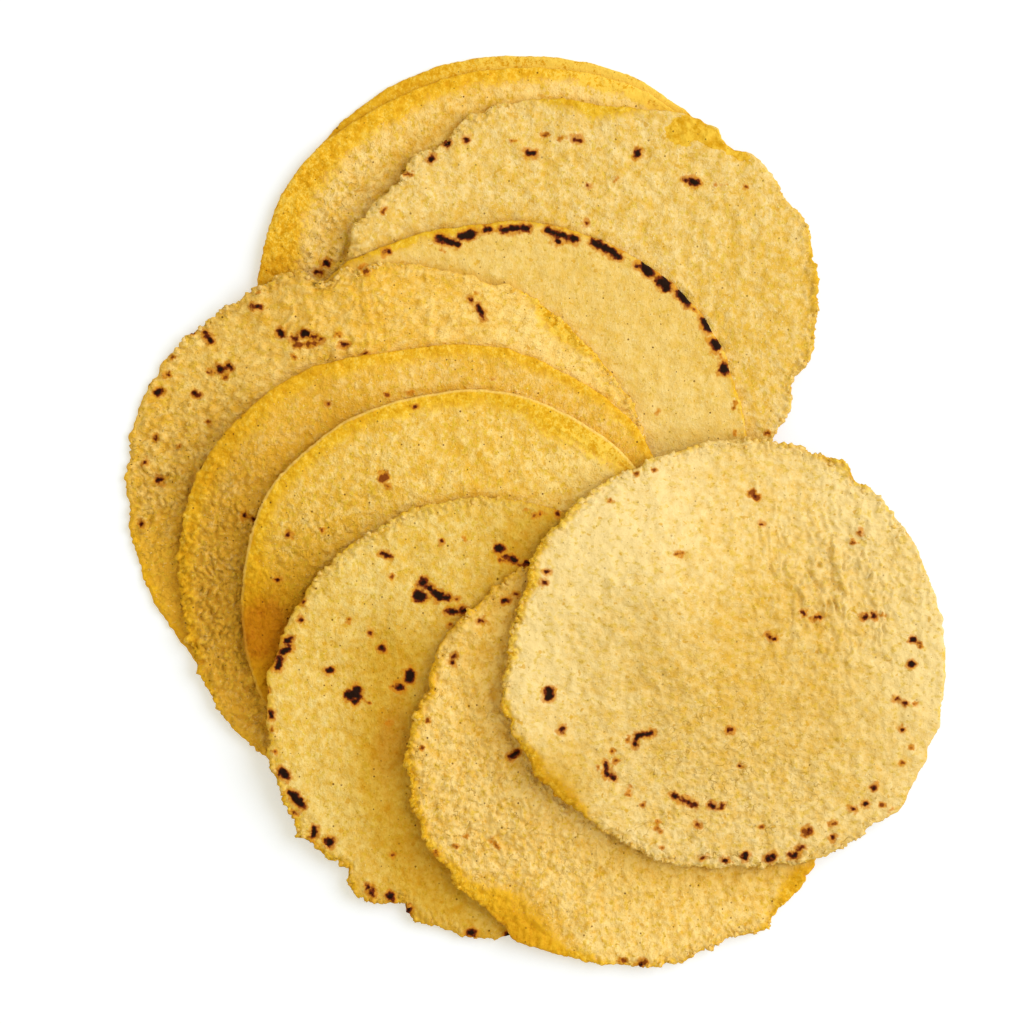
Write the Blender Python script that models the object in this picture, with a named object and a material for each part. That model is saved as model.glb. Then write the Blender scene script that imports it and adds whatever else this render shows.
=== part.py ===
"""A fanned stack of ten griddled corn tortillas.

Every tortilla is a separate thin disc with a slightly uneven outline and a rounded rim.
The discs are laid down one after another, from the bottom of the stack to the top: each one
sinks under its own weight on to the table and on to those already there, bends over their rims
and keeps a small gap to them. Lengths in the tables are millimetres, and angles are degrees,
counted anticlockwise from +X as seen from above. +Z is up and the table is at height 0.
"""

import math
from dataclasses import dataclass

import bpy
import numpy as np

METRES = 0.001

THICKNESS = 2.0
RIM_ROUNDING = 0.8
LAYER_GAP = 0.3

RINGS = 8
SECTORS = 6

GRID_PITCH = 1.5
GRID_MARGIN = 12.0

# How a disc hangs: the bend that its weight gives it where nothing holds it up, in 1/mm,
# and how many smoothing steps stand for its stiffness.
SAG_CURVATURE = 0.012
SETTLING_STEPS = 2500
STIFFNESS_STEPS = 30
CLEARING_STEPS = 60

CRUMB_COLOUR = (0.80, 0.53, 0.14, 1.0)
GOLDEN_COLOUR = (0.74, 0.44, 0.06, 1.0)


@dataclass
class Tortilla:
    """One disc. Each bulge is (direction, amount, half width in degrees), and a negative amount
    is a flat or a broken piece of rim. Each lift is (direction, height, half width in degrees)
    and curls that stretch of rim up."""

    name: str
    centre: tuple
    radius: float
    golden: bool
    bulges: tuple
    lifts: tuple = ()


STACK = (
    Tortilla("tortilla_01", (-4, 63), 88, True, ((50, -1, 12),)),
    Tortilla("tortilla_02", (-4, 57.5), 88.5, True, ((145, 4.2, 20), (66, 1.6, 14))),
    Tortilla(
        "tortilla_03",
        (15, 62),
        77,
        False,
        ((84, -5.5, 17), (26, 3.2, 18), (157, 3.8, 10), (338, -4.2, 11), (4, 1.4, 7), (62, 1.8, 6)),
        ((155, 2.2, 32),),
    ),
    Tortilla("tortilla_04", (-12, 14), 82, False, ((38, 1.7, 14), (98, -1.5, 12), (130, 2.8, 9))),
    Tortilla(
        "tortilla_05",
        (-49, 0),
        85,
        False,
        ((82, -4.2, 16), (100, -3.8, 6), (20, 3.8, 14), (150, 4.6, 20), (212, -5, 16)),
    ),
    Tortilla(
        "tortilla_06",
        (-35, -23.5),
        81.5,
        True,
        ((97, -5, 18), (36, 3.8, 14), (158, 2.8, 22), (226, -3.8, 9)),
        ((150, 1.2, 45),),
    ),
    Tortilla(
        "tortilla_07",
        (-24.5, -32),
        72.5,
        True,
        ((103, -1.7, 14), (150, 2, 11), (42, 1.4, 8)),
        ((165, 2, 50),),
    ),
    Tortilla(
        "tortilla_08",
        (-16.5, -67),
        71.5,
        False,
        ((120, -1.2, 8), (168, 2, 8), (191, 2.3, 7), (225, -3.2, 6), (246, -4.6, 5), (272, 2.8, 12)),
        ((150, 2, 45),),
    ),
    Tortilla(
        "tortilla_09",
        (29.5, -80.5),
        70.5,
        False,
        ((163, -2, 5), (190, 2, 16), (228, -2.4, 6), (262, -1, 12), (294, -2, 8), (309, 2.4, 6)),
        ((190, 2, 50),),
    ),
    Tortilla(
        "tortilla_10",
        (63.5, -48.5),
        72,
        False,
        ((66, 1.7, 10), (110, -1.3, 26), (192, 5, 15), (238, -1.8, 14), (270, -3.8, 14), (318, 3.2, 14)),
        ((200, 2.5, 50),),
    ),
)


def angle_between(angle, direction):
    """The turn from direction to angle in degrees, from -180 to 180."""
    return (angle - direction + 180.0) % 360.0 - 180.0


def swell(angle, swells):
    """The sum of smooth swells, each (direction, amount, half width), at these angles."""
    total = np.zeros_like(angle)
    for direction, amount, half_width in swells:
        total += amount * np.exp(-((angle_between(angle, direction) / half_width) ** 2))
    return total


def rim_radius(tortilla, angle):
    return tortilla.radius + swell(angle, tortilla.bulges)


def rim_lift(tortilla, x, y):
    """How far the curl of the rim raises the disc at these places."""
    dx = x - tortilla.centre[0]
    dy = y - tortilla.centre[1]
    angle = np.degrees(np.arctan2(dy, dx))
    share = np.hypot(dx, dy) / rim_radius(tortilla, angle)
    return swell(angle, tortilla.lifts) * np.clip(share, 0.0, 1.0) ** 6


def ring_start(ring):
    """The number of the first point of a ring: ring 0 is the centre and ring n has 6 n points."""
    return 0 if ring == 0 else 1 + SECTORS * ring * (ring - 1) // 2


def disc_points(tortilla, edge_inset):
    """The plan of one face of the disc: a centre and rings of 6, 12, 18... points."""
    points = [tortilla.centre]
    for ring in range(1, RINGS + 1):
        angle = np.arange(SECTORS * ring) * 360.0 / (SECTORS * ring)
        reach = (rim_radius(tortilla, angle) - edge_inset) * ring / RINGS
        x = tortilla.centre[0] + reach * np.cos(np.radians(angle))
        y = tortilla.centre[1] + reach * np.sin(np.radians(angle))
        points.extend(zip(x, y))
    return np.array(points)


def disc_faces():
    """The triangles between the rings, anticlockwise from above."""
    faces = []
    for ring in range(1, RINGS + 1):
        outer, inner = ring_start(ring), ring_start(ring - 1)
        outer_count, inner_count = SECTORS * ring, max(1, SECTORS * (ring - 1))
        for sector in range(SECTORS):
            for step in range(ring):
                a = outer + sector * ring + step
                b = outer + (sector * ring + step + 1) % outer_count
                c = inner + (sector * (ring - 1) + step) % inner_count
                faces.append((c, a, b))
                if step < ring - 1:
                    d = inner + (sector * (ring - 1) + step + 1) % inner_count
                    faces.append((c, b, d))
    return faces


def band_faces(first, second):
    """The triangles between two rims of as many points, given as lists of point numbers."""
    faces = []
    for i in range(len(first)):
        j = (i + 1) % len(first)
        faces.append((first[i], second[i], second[j]))
        faces.append((first[i], second[j], first[j]))
    return faces


class Shell:
    """The closed faceted surface of one tortilla: underside, rounded rim and top."""

    def __init__(self, tortilla):
        face_plan = disc_points(tortilla, RIM_ROUNDING)
        rim_plan = disc_points(tortilla, 0.0)[ring_start(RINGS) :]
        self.count = len(face_plan)
        self.plan = np.vstack([face_plan, face_plan, rim_plan])
        face = np.array(disc_faces())
        edge = np.arange(ring_start(RINGS), self.count)
        middle = np.arange(2 * self.count, len(self.plan))
        self.under = np.vstack([face[:, ::-1], band_faces(middle, edge)])
        self.over = np.vstack([face + self.count, band_faces(edge + self.count, middle)])
        self.edge = edge
        self.foot = np.concatenate([np.arange(self.count), np.arange(self.count), edge])
        self.height = np.zeros(len(self.plan))

    def stand_on(self, underside):
        """Sets every height from the heights of the underside's points."""
        self.height[: self.count] = underside
        self.height[self.count : 2 * self.count] = underside + THICKNESS
        self.height[2 * self.count :] = underside[self.edge] + THICKNESS / 2

    def points(self):
        return np.column_stack([self.plan, self.height])

    def faces(self):
        return np.vstack([self.under, self.over])


class Table:
    """A square grid of heights over the whole stack: 0 is the table itself."""

    def __init__(self):
        low = [np.subtract(t.centre, t.radius + GRID_MARGIN) for t in STACK]
        high = [np.add(t.centre, t.radius + GRID_MARGIN) for t in STACK]
        self.low = np.min(low, axis=0)
        columns, rows = (
            np.arange(start, end, GRID_PITCH) for start, end in zip(self.low, np.max(high, axis=0))
        )
        self.x, self.y = np.meshgrid(columns, rows, indexing="ij")
        self.height = np.zeros_like(self.x)

    def rest_height(self):
        """The lowest that an underside may be: on the table, or a gap above what lies there."""
        reached = self.height.copy()
        for shift in ((1, 0), (-1, 0), (0, 1), (0, -1), (1, 1), (-1, -1), (1, -1), (-1, 1)):
            reached = np.maximum(reached, np.roll(self.height, shift, axis=(0, 1)))
        return np.where(reached > 0, reached + LAYER_GAP, 0.0)

    def cells_under(self, shell, faces):
        """For each grid place under these faces: the place, the three points and their shares."""
        places, corners, shares = [], [], []
        for face in faces:
            a, b, c = shell.plan[face]
            low = np.floor((np.minimum(np.minimum(a, b), c) - self.low) / GRID_PITCH).astype(int)
            high = np.ceil((np.maximum(np.maximum(a, b), c) - self.low) / GRID_PITCH).astype(int) + 1
            px = self.x[low[0] : high[0], low[1] : high[1]]
            py = self.y[low[0] : high[0], low[1] : high[1]]
            area = (b[0] - a[0]) * (c[1] - a[1]) - (b[1] - a[1]) * (c[0] - a[0])
            share_b = ((px - a[0]) * (c[1] - a[1]) - (py - a[1]) * (c[0] - a[0])) / area
            share_c = ((b[0] - a[0]) * (py - a[1]) - (b[1] - a[1]) * (px - a[0])) / area
            share_a = 1.0 - share_b - share_c
            inside = np.minimum(np.minimum(share_a, share_b), share_c) >= -1e-9
            ix, iy = np.nonzero(inside)
            places.append(np.column_stack([ix + low[0], iy + low[1]]))
            corners.append(np.tile(face, (len(ix), 1)))
            shares.append(np.column_stack([s[inside] for s in (share_a, share_b, share_c)]))
        return np.vstack(places), np.vstack(corners), np.vstack(shares)

    def add(self, shell):
        """Raises the grid to the top of a shell that now lies there."""
        places, corners, shares = self.cells_under(shell, shell.over)
        top = (shell.height[corners] * shares).sum(axis=1)
        np.maximum.at(self.height, (places[:, 0], places[:, 1]), top)

    def sample(self, heights, plan):
        """Heights between the grid places, by their four neighbours."""
        at = (plan - self.low) / GRID_PITCH
        cell = np.floor(at).astype(int)
        part = at - cell
        ix, iy = cell[:, 0], cell[:, 1]
        near = heights[ix, iy] * (1 - part[:, 1]) + heights[ix, iy + 1] * part[:, 1]
        far = heights[ix + 1, iy] * (1 - part[:, 1]) + heights[ix + 1, iy + 1] * part[:, 1]
        return near * (1 - part[:, 0]) + far * part[:, 0]


def spread(values):
    """Each value shared with its neighbours, a quarter, a half and a quarter along each axis."""
    for axis in (0, 1):
        values = (np.roll(values, 1, axis) + 2 * values + np.roll(values, -1, axis)) / 4
    return values


def hang(tortilla, table):
    """The height of the sheet over the grid once it has sunk on to what lies below."""
    rest = table.rest_height() + rim_lift(tortilla, table.x, table.y)
    dx, dy = table.x - tortilla.centre[0], table.y - tortilla.centre[1]
    radius = rim_radius(tortilla, np.degrees(np.arctan2(dy, dx)))
    sheet = (np.hypot(dx, dy) <= radius + GRID_PITCH).astype(float)
    weight = np.maximum(spread(sheet), 1e-9)
    height = sheet * (rest * sheet).max()
    sag = SAG_CURVATURE * GRID_PITCH**2 / 4
    for _ in range(SETTLING_STEPS):
        height = sheet * np.maximum(rest, spread(height) / weight - sag)
    for _ in range(STIFFNESS_STEPS):
        height = sheet * np.maximum(rest, spread(height) / weight)
    return height


def lay_down(tortilla, table):
    """Makes the shell of one tortilla on top of everything that the table holds."""
    shell = Shell(tortilla)
    shell.stand_on(table.sample(hang(tortilla, table), shell.plan[: shell.count]))
    places, corners, shares = table.cells_under(shell, shell.under)
    rest = table.rest_height()[places[:, 0], places[:, 1]]
    feet = shell.foot[corners]
    for _ in range(CLEARING_STEPS):
        short = rest - (shell.height[corners] * shares).sum(axis=1)
        underside = shell.height[: shell.count].copy()
        for corner in range(3):
            raised = shell.height[feet[:, corner]] + np.maximum(short, 0) * shares[:, corner]
            np.maximum.at(underside, feet[:, corner], raised)
        shell.stand_on(underside)
        if short.max() < 1e-3:
            break
    table.add(shell)
    return shell


def baked_dough(name, colour):
    material = bpy.data.materials.new(name)
    material.use_nodes = True
    shader = material.node_tree.nodes["Principled BSDF"]
    shader.inputs["Base Color"].default_value = colour
    shader.inputs["Roughness"].default_value = 0.75
    shader.inputs["Metallic"].default_value = 0.0
    material.diffuse_color = colour
    return material


def make_object(tortilla, shell, shift, material):
    """One closed solid, with its origin at the centre of its disc on the table."""
    origin = np.array([*tortilla.centre, 0.0])
    mesh = bpy.data.meshes.new(tortilla.name)
    mesh.from_pydata(((shell.points() - origin) * METRES).tolist(), [], shell.faces().tolist())
    mesh.validate()
    mesh.shade_smooth()
    mesh.set_sharp_from_angle(angle=math.radians(60))
    mesh.materials.append(material)
    disc = bpy.data.objects.new(tortilla.name, mesh)
    disc.location = (origin + shift) * METRES
    bpy.context.scene.collection.objects.link(disc)


def centring_shift(shells):
    """What brings the middle of the stack's base to the origin."""
    points = np.vstack([shell.points() for shell in shells])
    low, high = points.min(axis=0), points.max(axis=0)
    return np.array([-(low[0] + high[0]) / 2, -(low[1] + high[1]) / 2, -low[2]])


def build():
    for old in list(bpy.data.objects):
        bpy.data.objects.remove(old)
    table = Table()
    shells = [lay_down(tortilla, table) for tortilla in STACK]
    shift = centring_shift(shells)
    pale = baked_dough("pale_corn_dough", CRUMB_COLOUR)
    golden = baked_dough("golden_corn_dough", GOLDEN_COLOUR)
    for tortilla, shell in zip(STACK, shells):
        make_object(tortilla, shell, shift, golden if tortilla.golden else pale)


build()
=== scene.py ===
"""Looks of a fanned stack of griddled corn tortillas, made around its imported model.

Each plain disc of the model is replaced by a finely meshed one with the same drape: its rim is
broken and crumbly where the dough was torn, its skin bubbled, wrinkled and peeled on the griddle,
and scorched and toasted spots are scattered over it. Lengths are millimetres and angles are
degrees, anticlockwise from +X as seen from above, until a mesh is handed to Blender in metres.
"""

from dataclasses import dataclass

import bmesh
import bpy
import numpy as np
from mathutils import Euler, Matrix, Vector
from mathutils.bvhtree import BVHTree


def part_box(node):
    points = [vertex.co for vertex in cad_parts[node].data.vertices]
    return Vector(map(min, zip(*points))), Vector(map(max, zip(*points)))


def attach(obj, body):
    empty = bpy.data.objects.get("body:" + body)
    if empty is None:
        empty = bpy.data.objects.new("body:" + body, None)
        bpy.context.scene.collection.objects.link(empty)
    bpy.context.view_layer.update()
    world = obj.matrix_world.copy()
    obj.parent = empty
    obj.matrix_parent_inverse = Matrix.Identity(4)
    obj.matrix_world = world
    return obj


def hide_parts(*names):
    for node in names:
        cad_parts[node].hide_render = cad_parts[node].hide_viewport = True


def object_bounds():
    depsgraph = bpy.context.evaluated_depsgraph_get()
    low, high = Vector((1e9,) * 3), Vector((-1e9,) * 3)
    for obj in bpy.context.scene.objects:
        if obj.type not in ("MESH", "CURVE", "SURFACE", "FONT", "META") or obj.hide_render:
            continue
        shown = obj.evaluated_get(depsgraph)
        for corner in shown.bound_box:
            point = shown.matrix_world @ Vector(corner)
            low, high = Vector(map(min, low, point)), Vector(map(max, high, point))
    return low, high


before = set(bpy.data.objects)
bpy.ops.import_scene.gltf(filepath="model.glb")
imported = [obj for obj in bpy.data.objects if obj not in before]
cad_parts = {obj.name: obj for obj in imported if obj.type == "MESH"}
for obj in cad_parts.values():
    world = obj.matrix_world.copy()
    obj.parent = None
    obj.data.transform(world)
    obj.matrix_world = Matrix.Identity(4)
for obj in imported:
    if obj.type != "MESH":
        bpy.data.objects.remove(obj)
cad_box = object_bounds()

MM = 0.001
BODY = "root"

# The mesh of a disc: rings on its upper side, steps round its rim and rings below.
TOP_RINGS = 140
RIM_POINTS = 6 * TOP_RINGS
RIM_STEPS = 5
UNDER_RINGS = 34
RIM_ROUNDING = 1.0
RIM_THINNING = 0.1
THINNED_WIDTH = 6.0
CURL_WIDTH = 14.0
RIDGE_WIDTH = 0.75
UNDER_RIM_PART = 0.985
UNDER_PART = 0.95

# The uneven rim: waves and teeth of (knots in a full turn, height, what is added to the disc's
# seed), and a bend that spreads them unevenly. They begin at a share of the radius.
RIM_WAVES = ((55, 0.8, 0), (110, 0.6, 50))
RIM_TEETH = (160, 0.8, 90)
RIM_BEND = (47, 4.0, 20)
BROKEN_FROM = 0.9
CAD_RIM_BLUR = 6

# How the rim's looks fade inwards: past a wide golden band, into a crumbly rim, and loose crumbs.
WIDE_BAND = 4.0
BAND_SOFTNESS = 9.0
LEAST_CRUMBLY = 0.25
CRUMBLY_DEPTH = 4.0
CRUMB_DEPTH = 1.4
CRUMB_SIDE = 0.2

# The grid on which the discs settle on each other, and how a disc is lifted where it is too low.
GRID_PITCH = 1.0
GRID_MARGIN = 14.0
FACET_SMOOTHING = 4.5
LAYER_GAP = 0.15
SETTLING_ROUNDS = 4
CARRIED_WIDTH = 1.5
LIFT_GROWTH = 2
LIFT_BLUR = 1.5

NOT_NEAR = -8.0

# The bright side. A higher rim on this side, or a slope leaning away from it, gives the dough
# beside it painted shade: a deeper gold painted into its colour.
KEY_DIRECTION = 18.0
SHELTER_TURNS = (-50, -25, 0, 25, 50)
SHELTER_REACHES = (2, 3, 4, 6, 8, 10, 13, 16, 20, 25)
SHELTER_LIMIT = 28.0
SHELTER_SOFTNESS = 2.0
SHELTER_SLOPES = (0.02, 0.24)
SHELTER_SHARE = 0.58
LEAN_STEP = 3.0
LEAN_SLOPES = (0.03, 0.33)

# The lights, and how bright a surface that faces them is, in red, green and blue.
KEY_SHARE = 0.46
FILL_SHARE = 0.75
LIGHT_LEVEL = (1.08, 1.04, 0.87)
FLOOR_GLOW = 0.36


@dataclass
class Disc:
    """What is particular to one tortilla.

    Directions are round the rim, and places (x, y) are from the middle of the disc.
    """

    node: str
    slot: str
    seed: int
    # How much redder, greener and bluer it is than the others.
    cast: tuple = (1, 1, 1)
    # Where the middle of its rim lies from the middle of its box.
    middle: tuple = (0, 0)
    # How uneven the rim is, with more of it at (direction, amount, half width).
    ragged: float = 0.3
    broken: tuple = ()
    # Pieces broken off the rim: (direction, depth, half width).
    bites: tuple = ()
    # Where the rim curls up: (direction, height, half width).
    lifts: tuple = ()
    # Where the whole rim is drawn in, or out if negative: (direction, depth, half width).
    shaves: tuple = ()
    # Thin raised arcs along the rim: (distance from the rim, direction, height, half width).
    ridges: tuple = ()
    # Width of the golden rim, with more of it at (direction, amount, half width).
    band: float = 0.0
    band_swells: tuple = ()
    # Width of a pale line along the very rim, a painted highlight on the rim's edge.
    pale_edge_highlight: float = 0.0
    # Rim with loose crumbs: (direction, half width).
    crumbly: tuple = ()
    # Heights of the relief, and where the blisters and creases are: (x, y, radius).
    bubbles: float = 0.25
    blisters: float = 0.0
    blister_zone: tuple = (0, 0, 1)
    creases: float = 0.0
    crease_turn: float = 90.0
    crease_zone: tuple = (0, 0, 1)
    # Patches of peeled skin: (x, y, length, width, turn).
    peels: tuple = ()
    # How pale the skin is, how blotchy, how gritty, and how dark its husk dots are.
    tone: float = 0.5
    mottle: float = 1.0
    grit: float = 1.0
    dots: float = 1.0
    # Where the skin is paler, or deeper if the amount is negative: (x, y, radius, amount).
    tints: tuple = ()
    # Where more painted shade is laid on the dough, or less if the amount is negative: (x, y,
    # radius, amount).
    painted_shade_spots: tuple = ()


DISCS = (
    Disc(
        "tortilla_01", "golden_dough", 1, cast=(0.985, 0.965, 0.9), ragged=0.35, band=14,
        bubbles=0.2, tone=0.3, tints=((55, 70, 45, 0.9), (0, 86, 35, 0.5), (-70, 45, 40, -0.3)),
        shaves=((88, 0.8, 12), (125, -0.9, 18), (151, 0.7, 5)),
        painted_shade_spots=((-45, 72, 40, -0.6), (10, 86, 40, -0.4)),
    ),
    Disc(
        "tortilla_02", "golden_dough", 2, cast=(1.06, 1.03, 0.92), band=4.5,
        band_swells=((165, 7.5, 40),), bubbles=0.4, blisters=0.45, blister_zone=(-60, 30, 40),
        tone=0.55, mottle=1.3, grit=1.1,
        tints=((50, 70, 40, 0.9), (-75, 45, 25, 0.3), (-56, 34, 13, -0.35)),
        painted_shade_spots=((-45, 65, 25, -0.15), (-61, 34, 15, -0.8)),
    ),
    Disc(
        "tortilla_03", "pale_dough", 3, cast=(0.975, 1.01, 1.08), middle=(-0.75, 1.8), ragged=0.6,
        broken=((150, 0.9, 30), (355, 0.5, 30)),
        bites=((31, 1.2, 3), (57, -0.6, 3), (343.5, 1.6, 2.5), (128, 2, 4), (145, 1.5, 3)),
        lifts=((155, 1.6, 30),),
        shaves=(
            (329, 1, 3), (336, -1.6, 3), (12, 0.6, 5), (22, -0.7, 5), (43, -0.9, 5), (51, 1.6, 4),
        ),
        band=-1.1, band_swells=((88, 5, 14), (10, 3, 16)), crumbly=((140, 35), (350, 40)),
        peels=(
            (32.5, 62, 7, 9, 0), (37, 64, 9, 9, -20), (41.5, 61.5, 9, 6, -35),
            (50, 56.5, 14, 3.4, -33),
        ),
        bubbles=0.45, dots=0.8, tints=((62, 0, 35, -0.15),),
    ),
    Disc(
        "tortilla_04", "pale_dough", 4, cast=(0.965, 0.99, 0.94), middle=(0, 0.5), band=0.7,
        band_swells=((108, 1.8, 25),), bubbles=0.3, mottle=0.55, grit=0.8,
        tints=((58, -4, 25, 0.15),), painted_shade_spots=((50, -20, 25, -0.3), (40, 16, 15, -0.35)),
    ),
    Disc(
        "tortilla_05", "pale_dough", 5, cast=(1.05, 1.02, 0.84), middle=(-0.2, 1.75), ragged=0.45,
        broken=((130, 0.6, 45),),
        bites=(
            (105, 4.8, 3.2), (96, 1.6, 2), (147, 0.8, 4), (134, 0.9, 4), (118, 0.9, 2),
            (66, 1.5, 3),
        ),
        shaves=((134, 0.6, 13), (162, -0.5, 4), (171, -0.6, 4), (180, 0.6, 6), (205, -1.4, 8)),
        band=-0.9, band_swells=((36, 1.8, 22), (46, 5, 9), (195, 3, 22)),
        crumbly=((115, 35), (35, 25)), bubbles=0.45, blisters=0.85, blister_zone=(-62, 5, 38),
        creases=0.4, crease_turn=70, crease_zone=(-20, 62, 45), tone=0.3, grit=1.4,
        tints=(
            (50, 50, 35, 0.45), (-68, -35, 30, -0.5), (-78, 10, 12, 0.15), (-50, 55, 28, 0.25),
        ),
        painted_shade_spots=(
            (-60, -50, 26, -0.1), (-55, 22, 34, -0.6), (-10, 68, 38, -0.5), (-75, -20, 24, -0.3),
        ),
    ),
    Disc(
        "tortilla_06", "golden_dough", 6, cast=(1.03, 1.0, 0.9), middle=(0.55, 1.65), ragged=0.25,
        band=4.0, band_swells=((150, 2.5, 35), (215, -3, 30), (46, -1, 22)), bubbles=0.35,
        blisters=1.2, blister_zone=(-60, -10, 48), tone=0.2, mottle=1.15, grit=1.3,
        tints=((-64, -25, 40, -0.2), (0, 65, 25, 0.15), (50, 56, 22, 0.1)),
        shaves=((222, -1.2, 8),),
        painted_shade_spots=((-60, 0, 30, -0.45), (-50, -50, 25, -0.35), (42, 56, 28, -0.7)),
    ),
    Disc(
        "tortilla_07", "golden_dough", 7, cast=(1.02, 1.015, 0.87), middle=(0, 0.35), ragged=0.15,
        band=5.0, band_swells=((193, 7, 22), (60, 4.5, 12)), pale_edge_highlight=0.8, bubbles=0.35,
        blisters=0.35, blister_zone=(-50, 0, 50), tone=0.3, mottle=1.25, grit=1.1,
        tints=((-20, 45, 22, 0.15), (55, 45, 30, 0.6), (-64, -15, 22, -1.0)),
        painted_shade_spots=((-66, -6, 12, 1.9), (-58, -40, 20, 1.1), (-20, 30, 25, -0.2), (35, 52, 20, -0.3)),
        ridges=((5.5, 57, 0.45, 8), (8.2, 54, 0.5, 7), (10.5, 58, 0.3, 5)),
    ),
    Disc(
        "tortilla_08", "pale_dough", 8, cast=(0.98, 1.02, 0.95), middle=(0.6, 1.35), ragged=0.45,
        broken=((222, 1.1, 35), (140, 0.4, 30)),
        bites=((226, 1.2, 3), (245.5, 1.5, 2.5), (165, 1.2, 3), (186, 1.5, 3), (203, -0.8, 3)),
        lifts=((160, 1.0, 40),),
        shaves=(
            (204, -0.8, 5), (213, -3.2, 5), (222, -1.6, 4), (232, -2, 4), (239, -1.5, 5),
            (252, -2.5, 5),
        ),
        band=0.4, band_swells=((222, 1.6, 35),), crumbly=((225, 45), (120, 35)), bubbles=0.35,
        tone=0.43, tints=((-40, 40, 25, 0.12), (-50, -32, 16, 0.2)),
        painted_shade_spots=(
            (-34, -20, 16, 0.7), (-22, -52, 24, 0.7), (13, 57, 15, 0.75), (-32, 17, 13, 1.0),
            (-32, -4, 12, 0.7), (-21, 12, 7, -0.4), (-22, -24, 9, -0.4),
        ),
    ),
    Disc(
        "tortilla_09", "pale_dough", 9, cast=(1.03, 1.01, 0.9), middle=(0.7, -0.3), ragged=0.5,
        broken=((160, 0.6, 45), (300, 0.7, 30)), bites=((162, 1.5, 2.5), (213, 1.2, 3)),
        lifts=((195, 1.4, 45),),
        shaves=((238, -1, 3), (282, -1.4, 6), (308, -1.6, 6), (322, -1.6, 7), (331, -1, 5)),
        band=0.6, band_swells=((190, 1.9, 45), (236, 9.0, 17), (322, 5, 8)),
        crumbly=((170, 55), (290, 30)), bubbles=0.6, blisters=0.45, blister_zone=(-45, -20, 50),
        tone=0.6, mottle=1.1, tints=((-37, -60, 14, -1.0), (-20, -70, 30, 0.15)),
        painted_shade_spots=(
            (-38, -61, 13, 0.75), (-52, -8, 30, -0.35), (-68, 0, 12, -0.3), (-17, -20, 14, -0.5),
        ),
    ),
    Disc(
        "tortilla_10", "pale_dough", 10, cast=(0.955, 0.985, 1.05), middle=(1.95, -1.35),
        ragged=0.55, broken=((175, 1.1, 55), (320, 0.5, 30), (85, 0.2, 30)),
        bites=((55, 0.8, 2.2), (68.5, 1.3, 2), (310, 2.4, 2.5), (206, 1.2, 3)),
        lifts=((205, 1.4, 50),), band=-0.6,
        shaves=(
            (14, 1.5, 24), (7, -0.9, 4), (30, -1, 5), (59, -1.6, 3), (73, -1.4, 4),
            (320, -0.7, 4), (337, 0.6, 5),
        ),
        ridges=((6.5, 57, -0.5, 2.5), (8, 57, 0.3, 3)),
        band_swells=((165, 3.4, 40), (215, 5.0, 14), (60, 3, 9)),
        crumbly=((165, 70), (265, 45), (72, 38)), bubbles=0.5, blisters=0.3,
        blister_zone=(0, -45, 50), creases=0.8, crease_turn=100, crease_zone=(36, 26, 28),
        tone=0.65, mottle=0.85, grit=0.8, dots=0.55,
        tints=(
            (-70, 2, 16, 0.4), (5, 0, 42, -0.25), (-40, 45, 35, 0.4), (70, 0, 22, 0.5),
            (0, 65, 30, -0.1), (45, 52, 18, 0.4),
        ),
        painted_shade_spots=((-57, -42, 13, 0.9), (12, -5, 42, 0.28), (43, -18, 18, 0.15)),
    ),
)

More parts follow.
